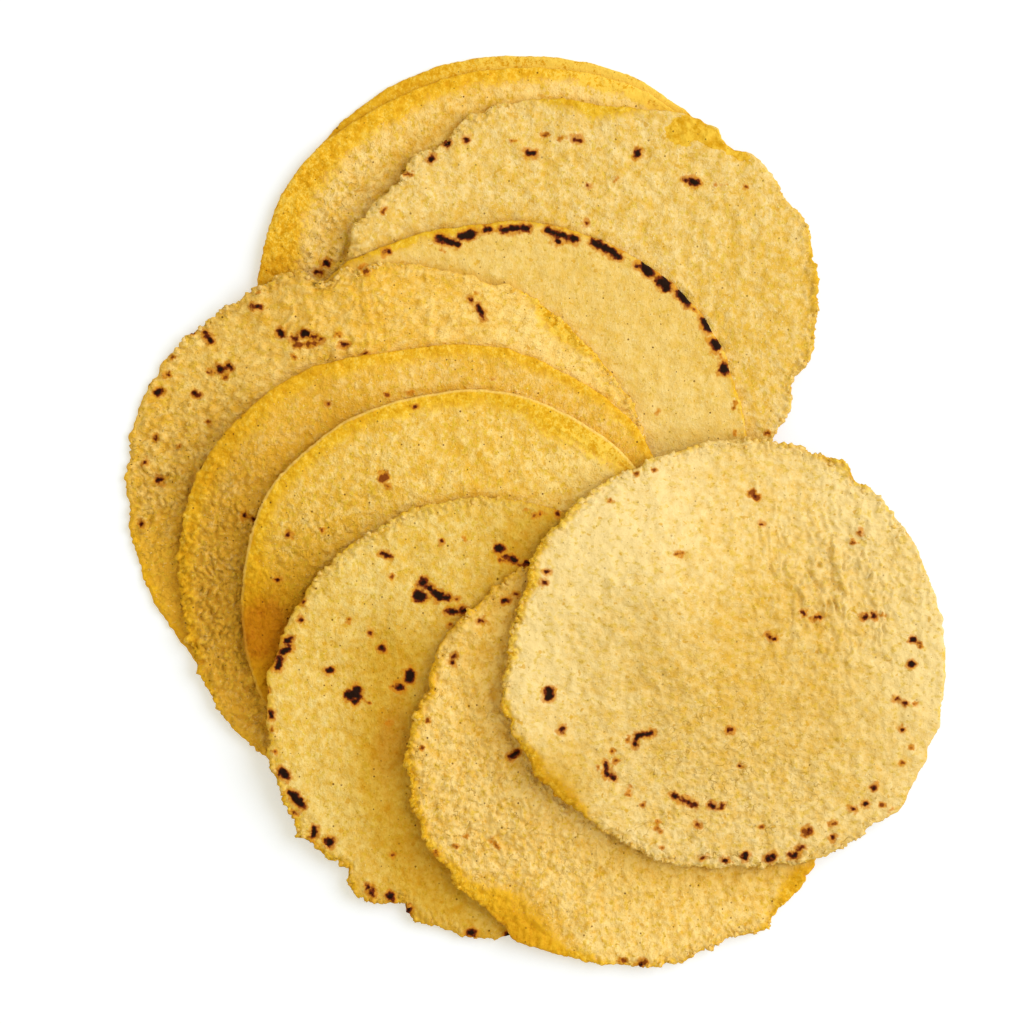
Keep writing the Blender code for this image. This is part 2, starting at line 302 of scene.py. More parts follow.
# Scorch marks, black: (x, y, length, width, turn), from the middle of the disc.
SCORCHES = {
    "tortilla_02": ((-65, 24, 2.8, 2.2, -15), (-67.5, 21, 2.8, 1.7, 0)),
    "tortilla_03": (
        (-44.5, 58.5, 2.6, 2, 30), (-49.5, 53.5, 2.6, 2, 40), (-38, 60, 2, 1.5, 0),
        (-17, 55.5, 3.8, 2.2, -10), (-1.5, 60, 3.2, 1.8, -15), (18.5, 55.5, 3.4, 2.4, 80),
        (2, 45, 1, 0.8, 0), (37, 46, 4.2, 3, -10), (34, 46.5, 2, 1.4, 0), (1.5, 32.5, 1.6, 1.4, 90),
    ),
    "tortilla_04": (
        (-17, 74.5, 9, 2.4, -20), (-10.5, 76.5, 6.5, 3, 10), (-4, 78.5, 3.4, 2.3, 15),
        (5, 78.5, 10.5, 2.4, 5), (20.5, 76.5, 12, 2.3, -18), (19, 74.5, 2.4, 1.6, 10),
        (35, 72, 12, 2.8, -30), (48.5, 65.5, 6.5, 3.6, -60), (45.5, 66.5, 2.8, 1.6, 0),
        (54, 60.5, 6, 4, -45), (60.5, 56, 7, 3.4, -50), (68, 47, 5.8, 2.8, -60),
        (71, 40.5, 4.6, 3.3, -60), (74, 32.5, 4.2, 4, 0), (-37, 71, 3, 1.4, 20),
    ),
    "tortilla_05": (
        (-43, 67, 4, 1.8, -10), (-59, 57, 4.6, 2, -55), (-35, 58.5, 3.4, 2.4, -75),
        (-27, 58, 3.6, 3, 25), (-24, 57, 2.6, 2.2, -40), (-30.5, 56.5, 3, 1.9, 0),
        (-22, 56, 1.8, 1.4, 0), (-14, 54.5, 2.6, 1.3, 0), (-7, 51.5, 1.6, 1.3, 60),
        (-55, 46.5, 3.4, 2.6, 15), (-52, 47.5, 3, 2, -50), (-58.5, 45.5, 2.4, 1.1, 0),
        (-75.5, 39, 3, 2, 10), (-63, 38.5, 3, 2, -30), (-72.5, 45, 1.6, 1.3, 0),
        (-76.5, 24, 1.6, 1.2, 60), (-80, 16, 1.4, 1.1, 0), (-75, 10, 2.6, 2, 10),
        (-81, -4.5, 1.8, 1.4, 0), (27.5, 69, 1.8, 1.6, 0), (30.5, 66, 4.4, 2, -50),
        (31.5, 64, 3, 1.4, 80),
    ),
    "tortilla_06": (
        (-60.5, 22, 2, 1.5, 30), (-58, 20.5, 1.6, 1.2, 0), (-33, 58.5, 1.2, 1, 0),
    ),
    "tortilla_07": ((-15, 66, 1.1, 0.9, 0), (-56.5, 24, 1.6, 1.3, 0), (-60.5, 9, 1.4, 1.2, 0)),
    "tortilla_08": (
        (-32.5, 52.5, 4.4, 1.7, -25), (-20.5, 43.5, 3.8, 3, 60), (-17, 40.5, 8, 2.6, -33),
        (-14, 38.5, 4.6, 2.4, 0), (-21.5, 39, 5, 4, 5), (-11, 34, 5, 2.1, 5),
        (-7.5, 34.5, 3.2, 2.7, 0), (-9.5, 38, 1.2, 0.9, 0), (4.5, 54.5, 3.6, 2.8, -20),
        (8, 51.5, 5, 2, -12), (13.5, 50, 2.6, 1.5, 0), (16, 65, 1.2, 1, 0), (23.5, 66, 1.4, 1.1, 0),
        (-14.5, 57, 0.9, 0.8, 0), (-38, 27, 1.6, 1.3, 0), (-34, 22, 2.8, 2.6, 0),
        (-25, 12.5, 4.8, 3.2, 85), (-28.5, 9, 3.4, 2.4, -30), (-51.5, 14.5, 2.8, 2, 0),
        (-43.5, 6.5, 6, 3.4, 12), (-42.5, 8, 3, 2.8, 0), (-43, 4.5, 2.6, 2.4, 0),
        (-31.5, -2.5, 1, 0.8, 0), (-60, 37, 1.7, 1.4, 0), (-60.5, 31, 1.9, 1.5, 20),
        (-65, 24.5, 3.4, 2.2, 10), (-65.5, 21.5, 4.6, 2.4, 35), (-68, 17, 5.2, 2.6, 75),
        (-72, 8, 1.6, 1.3, 0), (-70.5, 0, 3, 2, -65), (-66.5, -19.5, 5, 3, -35),
        (-62, -28, 7, 3, -50), (-64, -26, 3, 2, 0), (-63, -32.5, 1.4, 1.2, 0),
        (-56.5, -39, 4.6, 2.3, 80), (-51.5, -42, 3.8, 3, -20), (-38.5, -57, 2.4, 1.8, 0),
        (-37.5, -59, 3, 2, 80), (-31.5, -60, 3, 2.8, 0), (-25.5, -64.5, 2.2, 2, 0),
        (-5, -72, 3.8, 2.2, 5), (8, -73, 4, 1.9, -20), (-30.5, -46.5, 1, 0.8, 0),
    ),
    "tortilla_09": (
        (-39.5, 51, 3, 1.5, 10), (-36, 53, 1.3, 1.1, 0), (-47.5, 44.5, 2, 1.4, 40),
        (-56, 33, 1.6, 1.3, 60), (-57, 30.5, 1.5, 1.2, 0), (-37, 0.5, 4.2, 2.2, 35),
        (-36, 1.5, 1.8, 1.6, 0), (5, -68.5, 2.6, 1.6, 20),
    ),
    "tortilla_10": (
        (-60, 28.5, 1.9, 1.7, 0), (-61, 25, 2.1, 1.6, 10), (-59.5, -11.5, 5, 3, 80),
        (-55, -23.5, 2.6, 1.8, 70), (-31, -27.5, 3.6, 1.8, 80), (-28, -25, 6.5, 1.9, 14),
        (-40.5, -35.5, 3.4, 1.9, 85), (-40.5, -37.5, 3.4, 1.6, -65), (-38.5, -39, 2.8, 2, -30),
        (-15, -46.5, 9.6, 1.7, -27), (-5.5, -48.5, 3, 1.9, -20), (-2.5, -48.5, 2, 1.5, 60),
        (-10.5, -54.5, 2, 1, -25), (-8.5, -65.5, 1.8, 0.9, 20), (-1.5, -66.5, 1.7, 1.4, 0),
        (5, -65, 3, 2.4, 70), (13.5, -65.5, 4.2, 2.3, 25), (21, -65, 3.2, 1.8, 10),
        (23.5, -62.5, 2.8, 2, 45), (26, -56.5, 2.6, 2, 80), (34, -54.5, 1.6, 1, 0),
        (34, -59, 1.4, 1.1, 0), (40.5, -49.5, 1.8, 1.3, 0), (45, -48, 1.9, 1.6, 0),
        (47.5, -42.5, 2.2, 1.7, 60), (55, -13.5, 1.7, 1.3, 0), (57.5, -15, 1.5, 1.1, 0),
        (57, -23.5, 1.4, 1, 0), (0, -23.5, 2.1, 1.8, 0), (3.5, -35.5, 1.3, 1, 0),
        (8, 53.5, 1.8, 1.4, -40), (24, 15, 2.1, 1.4, -15), (29, 13.5, 2.8, 1.2, 0),
        (44.5, 13.5, 2.2, 1.7, 0), (47.5, 14, 2.2, 1.8, 90), (13.5, 7, 3.6, 1.3, -28),
        (60.5, 6, 2.2, 1.9, 70), (60, -2, 2.4, 2.1, -40), (43, 41.5, 1.4, 1.2, 0),
        (10.5, 44, 1, 0.8, 0),
    ),
}

# Browned spots that didn't scorch: (x, y, length, width, turn), from the middle of the disc.
TOASTS = {
    "tortilla_03": (
        (-57, 48.5, 4, 1.6, 0), (-65, 36.5, 2.5, 1.6, 60), (-22.5, 59.5, 2.2, 1.4, 0),
        (-11.5, 61.5, 3.6, 1.4, -10), (-6.5, 60.5, 3, 1.2, 0), (11.5, 47, 2.4, 1.4, 40),
        (45.5, 45, 4.5, 0.8, 0), (54, 44.5, 2, 1.4, 0), (1.5, 32.5, 2.4, 2.2, 0),
        (61, -36.5, 2, 1.6, 0),
    ),
    "tortilla_04": (
        (-19, 71.5, 2, 1, 0), (73, 36, 4, 1.4, -70), (64.5, 51.5, 5, 1.2, -55),
        (77, 20.5, 3, 1.6, 80), (77.5, 11.5, 2.4, 1.4, 80), (52, 18.5, 1.8, 1.6, 0),
        (-45, 66, 3, 1, 30),
    ),
    "tortilla_05": (
        (-7, 78.5, 3.6, 2.6, 0), (-71, 50.5, 2.6, 2.2, 60), (-27, 54.5, 9, 2.4, 5),
        (-16, 57.5, 3.4, 1.8, -40), (-30.5, 50.5, 2, 1.6, 0), (-53.5, 44, 3, 1.8, 70),
        (-59, 29, 2.6, 2.2, 0), (-64, 58.5, 2, 1.8, 0), (29, 71.5, 1.8, 1.4, 0),
        (-69, 21, 2, 1.6, 0), (-42, 72, 1.6, 1.2, 0),
    ),
    "tortilla_06": ((-14, 61.5, 2.6, 2, 0), (-6.5, 62.5, 3, 1.4, 20), (21, 67, 1.8, 1.4, 0)),
    "tortilla_07": ((-25.5, 43, 4, 4.4, 60), (-24, 40, 2.5, 2, 0), (-45.5, 25.5, 2.2, 1.6, 0)),
    "tortilla_08": (
        (-31, 45.5, 2.6, 1.8, 0), (-12, 29.5, 2.6, 2, 60), (13, 67, 2, 1.4, 0),
        (18.5, 66, 3, 1.4, -20), (-6.5, 57.5, 3.4, 1, -50), (-30.5, 9.5, 3, 2, 0),
        (-39.5, 4.5, 4, 1.2, -40), (-45, 31, 2.4, 1.8, 80), (-69.5, -12.5, 2.2, 1.6, 0),
        (-70.5, -5, 1.6, 1.3, 0), (8.5, 50, 9, 1.4, -14),
    ),
    "tortilla_09": (
        (-65, 12, 2.4, 1.6, 70), (-67, 2.5, 2, 1.4, 70), (-44.5, -27.5, 1.8, 1.4, 0),
        (-42.5, -29.5, 2.4, 2, -30), (-53, -26.5, 1.8, 1.2, 0), (-56, -29.5, 1.8, 1.6, 0),
        (-62.5, -32, 3, 2.4, 0), (5.5, -68.5, 4, 3, 20), (-1, -68, 3.4, 2, 0),
    ),
    "tortilla_10": (
        (-38.5, -30.5, 2.6, 2.2, 0), (-37.5, -33.5, 3, 1.6, 20), (-43, -36, 1.8, 1.6, 0),
        (-33, -43.5, 4, 2, 75), (-28.5, -48, 2.6, 1.6, 0), (-33, -26.5, 2.6, 1.6, 60),
        (-10.5, -54.5, 3, 1.8, -25), (-23.5, -56.5, 2.8, 1.4, -20), (-23.5, -53.5, 2, 1.6, 0),
        (-22.5, -62, 2, 1.6, 0), (-8.5, -65.5, 2.6, 1.6, 20), (0.5, -67, 2, 1.4, 0),
        (25.5, -57, 4.2, 3.8, 0), (34, -54.5, 3, 1.8, 0), (34, -59, 2.2, 1.8, 0),
        (50.5, -48.5, 3.2, 1.8, -30), (53, -50, 1.8, 1.2, 0), (61.5, -15, 1.9, 1.5, 0),
        (57, -23, 2.2, 1.6, 80), (60, -29.5, 2, 1.5, 0), (56.5, -34.5, 2.6, 1.6, 0),
        (10, -55.5, 2, 1.4, 0), (8, 53.5, 5.2, 3.2, -40), (28.5, 13, 5, 2, 5),
        (50.5, 14, 2.6, 1.6, 0), (62.5, 4.5, 2.6, 2, -40), (43, 41.5, 2.2, 2, 0),
        (41, 38, 2.6, 2, 0), (-17, 34.5, 3.6, 1.3, 0), (-25, 61.5, 2.2, 1.6, 20),
        (-39.5, 51.5, 2.6, 1.6, 20), (-30.5, 60.5, 2.2, 1.6, 0),
    ),
}


# ---------------------------------------------------------------- shapes on the plan


def swell(angle, swells, sharpness=2):
    """The sum of swells (direction, amount, half width) at these angles."""
    total = np.zeros_like(angle)
    for direction, amount, half_width in swells:
        turn = (angle - direction + 180.0) % 360.0 - 180.0
        total += amount * np.exp(-(np.abs(turn / half_width) ** sharpness))
    return total


def round_noise(angle, waves, seed):
    """Smooth noise round a circle, from -1 to 1, with that many knots in a full turn."""
    knots = np.random.default_rng(seed).uniform(-1, 1, waves)
    at = (angle % 360.0) / 360.0 * waves
    low = np.floor(at).astype(int) % waves
    part = at - np.floor(at)
    part = part * part * (3 - 2 * part)
    return knots[low] * (1 - part) + knots[(low + 1) % waves] * part


def cad_rim(node, middle):
    """The radius of a CAD disc in every direction of a fine ring, round its middle."""
    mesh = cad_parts[node].data
    points = np.array([v.co[:2] for v in mesh.vertices]) / MM - middle
    edges = np.array([e.vertices[:] for e in mesh.edges])
    p, q = points[edges[:, 0]], points[edges[:, 1]]
    turn = np.arange(RIM_POINTS) * 2 * np.pi / RIM_POINTS
    radius = np.zeros(RIM_POINTS)
    for i, (dx, dy) in enumerate(zip(np.cos(turn), np.sin(turn))):
        side_p = dx * p[:, 1] - dy * p[:, 0]
        side_q = dx * q[:, 1] - dy * q[:, 0]
        crossed = side_p * side_q < 0
        share = side_p[crossed] / (side_p[crossed] - side_q[crossed])
        reach_p = p[crossed, 0] * dx + p[crossed, 1] * dy
        reach_q = q[crossed, 0] * dx + q[crossed, 1] * dy
        radius[i] = (reach_p * (1 - share) + reach_q * share).max()
    return round_blur(radius, CAD_RIM_BLUR)


def round_blur(values, spread):
    """A Gaussian blur along a closed ring."""
    offsets = np.arange(-3 * spread, 3 * spread + 1)
    weights = np.exp(-((offsets / spread) ** 2) / 2)
    return sum(w * np.roll(values, o) for o, w in zip(offsets, weights)) / weights.sum()


class Rim:
    """The outline of one disc: the model's smooth rim, and the broken rim that is made of it."""

    def __init__(self, disc, middle):
        angle = np.arange(RIM_POINTS) * 360.0 / RIM_POINTS
        self.smooth = cad_rim(disc.node, middle) - swell(angle, disc.shaves)
        uneven = disc.ragged + swell(angle, disc.broken)
        knots, bend, more = RIM_BEND
        bent = angle + bend * round_noise(angle, knots, disc.seed + more)
        noise = np.zeros_like(angle)
        for knots, height, more in RIM_WAVES:
            noise += height * round_noise(bent, knots, disc.seed + more)
        knots, height, more = RIM_TEETH
        noise += height * np.abs(round_noise(bent, knots, disc.seed + more)) - height / 2
        self.broken = self.smooth + uneven * noise - swell(angle, disc.bites, sharpness=4)

    def at(self, ring, angle):
        """The radius from one of the two outlines at these angles."""
        turn = (angle % 360.0) / 360.0 * RIM_POINTS
        low = np.floor(turn).astype(int) % RIM_POINTS
        part = turn - np.floor(turn)
        return ring[low] * (1 - part) + ring[(low + 1) % RIM_POINTS] * part


# ---------------------------------------------------------------- heights


def blur(values, spread):
    """A Gaussian blur over the grid, with the spread in cells."""
    offsets = np.arange(-int(3 * spread), int(3 * spread) + 1)
    weights = np.exp(-((offsets / spread) ** 2) / 2)
    weights /= weights.sum()
    for axis in (0, 1):
        values = sum(w * np.roll(values, o, axis) for o, w in zip(offsets, weights))
    return values


def grow(values, cells):
    """The largest value within so many cells along each axis."""
    for axis in (0, 1):
        values = np.max([np.roll(values, o, axis) for o in range(-cells, cells + 1)], axis=0)
    return values


class Pile:
    """The table and what lies on it, as heights over a square grid."""

    def __init__(self):
        low, high = (np.array(corner[:2]) / MM for corner in cad_box)
        self.low = low - GRID_MARGIN
        counts = np.ceil((high + GRID_MARGIN - self.low) / GRID_PITCH).astype(int)
        lines = [start + GRID_PITCH * np.arange(n) for start, n in zip(self.low, counts)]
        self.x, self.y = np.meshgrid(*lines, indexing="ij")
        self.height = np.zeros(counts)

    def sample(self, values, x, y):
        """The grid's values at places between its points."""
        at_x, at_y = (x - self.low[0]) / GRID_PITCH, (y - self.low[1]) / GRID_PITCH
        ix = np.clip(np.floor(at_x).astype(int), 0, values.shape[0] - 2)
        iy = np.clip(np.floor(at_y).astype(int), 0, values.shape[1] - 2)
        px, py = at_x - ix, at_y - iy
        near = values[ix, iy] * (1 - py) + values[ix, iy + 1] * py
        far = values[ix + 1, iy] * (1 - py) + values[ix + 1, iy + 1] * py
        return near * (1 - px) + far * px

    def cad_underside(self, node):
        """Heights of a CAD disc's underside over the grid, and where there are any."""
        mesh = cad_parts[node].data
        tree = BVHTree.FromPolygons(
            [v.co / MM for v in mesh.vertices], [p.vertices[:] for p in mesh.polygons]
        )
        low, high = (np.array(corner[:2]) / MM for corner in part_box(node))
        near = (self.x >= low[0]) & (self.x <= high[0]) & (self.y >= low[1]) & (self.y <= high[1])
        height, found = np.zeros_like(self.x), np.zeros_like(self.x)
        up, start = Vector((0, 0, 1)), -10.0
        for i, j in zip(*np.nonzero(near)):
            hit = tree.ray_cast(Vector((self.x[i, j], self.y[i, j], start)), up)[0]
            if hit is not None:
                height[i, j], found[i, j] = hit.z, 1.0
        return height, found

    def lay(self, disc, radius_at, middle):
        """Settles one disc on the pile: the height of its underside over the grid."""
        height, found = self.cad_underside(disc.node)
        spread = FACET_SMOOTHING / GRID_PITCH
        under = blur(height * found, spread) / np.maximum(blur(found, spread), 1e-4)
        dx, dy = self.x - middle[0], self.y - middle[1]
        angle = np.degrees(np.arctan2(dy, dx))
        inset = radius_at(angle) - np.hypot(dx, dy)
        curl = np.exp(-((np.maximum(inset, 0) / CURL_WIDTH) ** 2))
        under = under + swell(angle, disc.lifts) * curl
        covered = inset > -CARRIED_WIDTH
        rest = np.where(self.height > 0, self.height + LAYER_GAP, 0.0)
        for _ in range(SETTLING_ROUNDS):
            short = np.where(covered, np.maximum(rest - under, 0.0), 0.0)
            under = under + blur(grow(short, LIFT_GROWTH), LIFT_BLUR)
        top = np.where(inset > 0, under + thickness_at(inset), 0.0)
        self.height = np.maximum(self.height, top)
        return under

    def shelter(self, x, y, z, under):
        """How much painted shade each place gets, 0 to 1: how far a higher rim on the bright side
        would shade it, or how far it leans away from that side."""
        steepest = np.zeros_like(x)
        for turn in SHELTER_TURNS:
            way = np.radians(KEY_DIRECTION + turn)
            for reach in SHELTER_REACHES:
                there = self.sample(self.height, x + reach * np.cos(way), y + reach * np.sin(way))
                slope = (there - z) / (reach + SHELTER_SOFTNESS)
                slope = slope * np.cos(np.radians(turn)) * (1 - reach / SHELTER_LIMIT)
                steepest = np.maximum(steepest, slope)
        way = np.radians(KEY_DIRECTION)
        step_x, step_y = LEAN_STEP * np.cos(way), LEAN_STEP * np.sin(way)
        ahead = self.sample(under, x + step_x, y + step_y)
        behind = self.sample(under, x - step_x, y - step_y)
        lean = (ahead - behind) / (2 * LEAN_STEP)
        painted_shade = np.interp(steepest, SHELTER_SLOPES, (0.0, SHELTER_SHARE))
        return np.maximum(painted_shade, np.interp(lean, LEAN_SLOPES, (0.0, 1.0)))


# ---------------------------------------------------------------- the mesh of a disc


def bridge(first, second):
    """Triangles between two rings of point numbers, of any two counts."""
    m, n = len(second), len(first)
    faces = []
    if m > 1:
        i = np.arange(m)
        j = ((i + 1) * n - 1) // m
        faces.append(np.column_stack([first[j % n], second, second[(i + 1) % m]]))
    if n > 1:
        j = np.arange(n)
        i = ((j + 1) * m) // n
        faces.append(np.column_stack([first, second[i % m], first[(j + 1) % n]]))
    return np.vstack(faces)


class Weave:
    """How every disc is meshed: rings from the middle of the top, round the rim, to the middle
    of the underside. angle and part say where a point lies; part is the share of the radius on
    the top (side 0) and the underside (side 2), and the turn round the rim on side 1."""

    def __init__(self):
        rings = [(0, 0.0, 1)]
        rings += [(0, k / TOP_RINGS, 6 * k) for k in range(1, TOP_RINGS + 1)]
        rings += [(1, 180.0 * k / (RIM_STEPS + 1), RIM_POINTS) for k in range(1, RIM_STEPS + 1)]
        rings += [(2, 1.0, RIM_POINTS), (2, UNDER_RIM_PART, RIM_POINTS // 2)]
        rings += [(2, UNDER_PART * k / UNDER_RINGS, 6 * k) for k in range(UNDER_RINGS, 0, -1)]
        rings += [(2, 0.0, 1)]
        counts = [count for _, _, count in rings]
        starts = np.concatenate([[0], np.cumsum(counts)])
        self.side = np.concatenate([np.full(count, side) for side, _, count in rings])
        self.part = np.concatenate([np.full(count, part) for _, part, count in rings])
        self.angle = np.concatenate([np.arange(count) * 360.0 / count for count in counts])
        numbers = [np.arange(start, start + count) for start, count in zip(starts, counts)]
        self.faces = np.vstack([bridge(a, b) for a, b in zip(numbers, numbers[1:])])


def thickness_at(inset):
    """The dough's thickness this far in from the rim: it thins out towards the rim."""
    share = np.clip(inset / THINNED_WIDTH, 0, 1)
    return THICKNESS * (1 - RIM_THINNING * (1 - share) ** 2)


def mark_depth(x, y, marks):
    """How deep inside the nearest mark each place lies; it is negative outside the marks."""
    depth = np.full_like(x, NOT_NEAR)
    for mark_x, mark_y, length, width, turn in marks:
        c, s = np.cos(np.radians(turn)), np.sin(np.radians(turn))
        along = (x - mark_x) * c + (y - mark_y) * s
        across = (y - mark_y) * c - (x - mark_x) * s
        past_end = np.maximum(np.abs(along) - max(length - width, 0) / 2, 0)
        depth = np.maximum(depth, width / 2 - np.hypot(past_end, across))
    return depth


def spot(x, y, spot_x, spot_y, radius):
    """1 in a round spot, fading to 0 past its radius."""
    return np.exp(-((np.hypot(x - spot_x, y - spot_y) / radius) ** 2))


def spots(x, y, rows):
    """The sum of soft round spots (x, y, radius, amount)."""
    return sum((amount * spot(x, y, *place) for *place, amount in rows), np.zeros_like(x))


def make_mesh(name, points, faces, fields):
    """A mesh in metres from points in millimetres, with these fields as attributes."""
    mesh = bpy.data.meshes.new(name)
    mesh.vertices.add(len(points))
    mesh.vertices.foreach_set("co", (points * MM).astype(np.float32).ravel())
    mesh.loops.add(3 * len(faces))
    mesh.loops.foreach_set("vertex_index", faces.astype(np.int32).ravel())
    mesh.polygons.add(len(faces))
    mesh.polygons.foreach_set("loop_start", (3 * np.arange(len(faces))).astype(np.int32))
    mesh.update(calc_edges=True)
    mesh.shade_smooth()
    for field_name, values in fields.items():
        attribute = mesh.attributes.new(field_name, "FLOAT", "POINT")
        attribute.data.foreach_set("value", values.astype(np.float32))
    return mesh


class Sheet:
    """One draped disc in the making: its points, and the fields that its finish reads."""

    def __init__(self, disc, pile, weave):
        low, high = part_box(disc.node)
        middle = np.array([(low.x + high.x) / 2, (low.y + high.y) / 2]) / MM + disc.middle
        rim = Rim(disc, middle)
        under = pile.lay(disc, lambda angle: rim.at(rim.smooth, angle), middle)

        smooth, broken = rim.at(rim.smooth, weave.angle), rim.at(rim.broken, weave.angle)
        on_rim = weave.side == 1
        turn = np.radians(np.where(on_rim, weave.part, 0.0))
        share = np.where(on_rim, 1.0, weave.part)
        blend = np.clip((share - BROKEN_FROM) / (1 - BROKEN_FROM), 0, 1)
        outer = smooth + (broken - smooth) * blend * blend * (3 - 2 * blend)
        radius = share * (outer - RIM_ROUNDING) + np.where(on_rim, RIM_ROUNDING * np.sin(turn), 0.0)
        x, y = radius * np.cos(np.radians(weave.angle)), radius * np.sin(np.radians(weave.angle))
        inset = np.maximum(outer - radius, 0.0)

        base = pile.sample(under, x + middle[0], y + middle[1])
        thick = thickness_at(inset)
        lift = np.select([weave.side == 0, on_rim], [thick, thick * (1 + np.cos(turn)) / 2], 0.0)
        for from_rim, direction, height, half_width in disc.ridges:
            along = swell(weave.angle, ((direction, height, half_width),))
            along = along * np.exp(-(((inset - from_rim) / RIDGE_WIDTH) ** 2))
            lift = lift + along * (weave.side == 0)
        self.disc, self.weave, self.under = disc, weave, under
        self.points = np.column_stack([x + middle[0], y + middle[1], base + lift])

        scorch = mark_depth(x, y, SCORCHES.get(disc.node, ()))
        toast = mark_depth(x, y, TOASTS.get(disc.node, ()))
        band = disc.band + swell(weave.angle, disc.band_swells)
        crumbly = np.zeros_like(x)
        for direction, half_width in disc.crumbly:
            near = swell(weave.angle, ((direction, 1, half_width),), sharpness=4)
            crumbly = np.maximum(crumbly, near)
        upper = np.select([weave.side == 0, on_rim], [1.0, (1 + np.cos(turn)) / 2], 0.0)
        self.fields = {
            "inset_mm": inset,
            "band_mm": (band - inset) / (1 + np.maximum(band - WIDE_BAND, 0) / BAND_SOFTNESS),
            "scorch_mm": scorch,
            "toast_mm": toast,
            "peel_mm": mark_depth(x, y, disc.peels),
            "upper": upper,
            "blister": spot(x, y, *disc.blister_zone),
            "crease": spot(x, y, *disc.crease_zone),
            "tint": spots(x, y, disc.tints),
            # Listed spots of painted shade, added later to the computed painted shade.
            "shade": spots(x, y, disc.painted_shade_spots),
            "crumbly": (LEAST_CRUMBLY + (1 - LEAST_CRUMBLY) * crumbly)
            * np.exp(-((inset / CRUMBLY_DEPTH) ** 2)),
            "crumbs": crumbly * np.exp(-((inset / CRUMB_DEPTH) ** 2)) * (upper > CRUMB_SIDE),
        }

    def mesh(self, pile):
        """The disc's mesh, once every disc of the pile is laid."""
        x, y, z = self.points.T
        # Painted shade: the shading computed from higher rims and slopes, plus the listed spots of
        # painted shade.
        self.fields["painted_shade"] = pile.shelter(x, y, z, self.under) + self.fields.pop("shade")
        return make_mesh(self.disc.node + "_sheet", self.points, self.weave.faces, self.fields)


# ---------------------------------------------------------------- node trees


def add(tree, kind, inputs=None, **settings):
    """A node with these settings, whose inputs are fed from sockets or set to values."""
    node = tree.nodes.new(kind)
    for name, value in settings.items():
        setattr(node, name, value)
    for key, value in (inputs or {}).items():
        if isinstance(value, bpy.types.NodeSocket):
            tree.links.new(value, node.inputs[key])
        else:
            node.inputs[key].default_value = value
    return node


def calc(tree, operation, *values):
    """One step of arithmetic on sockets and numbers."""
    return add(tree, "ShaderNodeMath", dict(enumerate(values)), operation=operation).outputs[0]


def vector(tree, operation, first, second):
    """One step of arithmetic on vectors; SCALE takes a vector and a number."""
    inputs = {0: first, "Scale" if operation == "SCALE" else 1: second}
    return add(tree, "ShaderNodeVectorMath", inputs, operation=operation).outputs[0]


def noise(tree, place, size, detail=2.0, rough=0.5):
    """Noise from about -1 to 1, with lumps of this size in the units of the place."""
    inputs = {"Vector": place, "Scale": 1.0 / size, "Detail": detail, "Roughness": rough}
    value = add(tree, "ShaderNodeTexNoise", inputs).outputs[0]
    return calc(tree, "MULTIPLY", calc(tree, "SUBTRACT", value, 0.5), 4.0)


def lumps(tree, place, size, detail=1.0):
    """Round lumps from -1 to about 1 with sharp creases between them, as of crowded bubbles."""
    bare = calc(tree, "ABSOLUTE", noise(tree, place, size, detail))
    return calc(tree, "SUBTRACT", times(tree, bare, 3.5), 1.0)


def wander(tree, place, size, reach):
    """The place moved about by up to this reach, so that a pattern read there is irregular."""
    inputs = {"Vector": place, "Scale": 1.0 / size, "Detail": 2.0, "Roughness": 0.6}
    way = add(tree, "ShaderNodeTexNoise", inputs).outputs[1]
    way = vector(tree, "SCALE", vector(tree, "SUBTRACT", way, (0.5, 0.5, 0.5)), 4.0 * reach)
    return vector(tree, "ADD", place, way)


def rise(tree, value, low, high, top=1.0):
    """0 up to low, then smoothly up to top at high."""
    inputs = {0: value, 1: low, 2: high, 3: 0.0, 4: top}
    return add(tree, "ShaderNodeMapRange", inputs, interpolation_type="SMOOTHSTEP").outputs[0]


def total(tree, *values):
    """The sum of several sockets and numbers."""
    result = values[0]
    for value in values[1:]:
        result = calc(tree, "ADD", result, value)
    return result


def times(tree, *values):
    """The product of several sockets and numbers."""
    result = values[0]
    for value in values[1:]:
        result = calc(tree, "MULTIPLY", result, value)
    return result


def paint(tree, share, under, over):
    """One colour laid over another."""
    return add(tree, "ShaderNodeMix", {0: share, 6: under, 7: over}, data_type="RGBA").outputs[2]


def dye(tree, share, under, tint):
    """A colour multiplied by a tint, as far as the share says."""
    inputs = {0: share, 6: under, 7: tint}
    mix = add(tree, "ShaderNodeMix", inputs, data_type="RGBA", blend_type="MULTIPLY")
    return mix.outputs[2]


def srgb(red, green, blue):
    """A finish that is seen as this screen colour, 0 to 255, where the light falls fully on it."""
    seen = np.array([red, green, blue]) / 255.0
    light = np.where(seen <= 0.04045, seen / 12.92, ((seen + 0.055) / 1.055) ** 2.4)
    return (*np.minimum(light / np.array(LIGHT_LEVEL), 1.0).tolist(), 1.0)


# ---------------------------------------------------------------- relief of the skin


def new_tree(name, numbers):
    """A Geometry Nodes tree with these named numbers, a material, and its group inputs."""
    tree = bpy.data.node_groups.new(name, "GeometryNodeTree")
    face = tree.interface
    face.new_socket("Geometry", in_out="INPUT", socket_type="NodeSocketGeometry")
    for number_name, value in numbers.items():
        number = face.new_socket(number_name, in_out="INPUT", socket_type="NodeSocketFloat")
        number.default_value = value
    face.new_socket("Seed", in_out="INPUT", socket_type="NodeSocketInt").default_value = 1
    face.new_socket("Material", in_out="INPUT", socket_type="NodeSocketMaterial")
    face.new_socket("Geometry", in_out="OUTPUT", socket_type="NodeSocketGeometry")
    return tree, tree.nodes.new("NodeGroupInput").outputs


def named(tree, name):
    """One of the mesh's own fields."""
    inputs = {"Name": name}
    return add(tree, "GeometryNodeInputNamedAttribute", inputs, data_type="FLOAT").outputs[0]


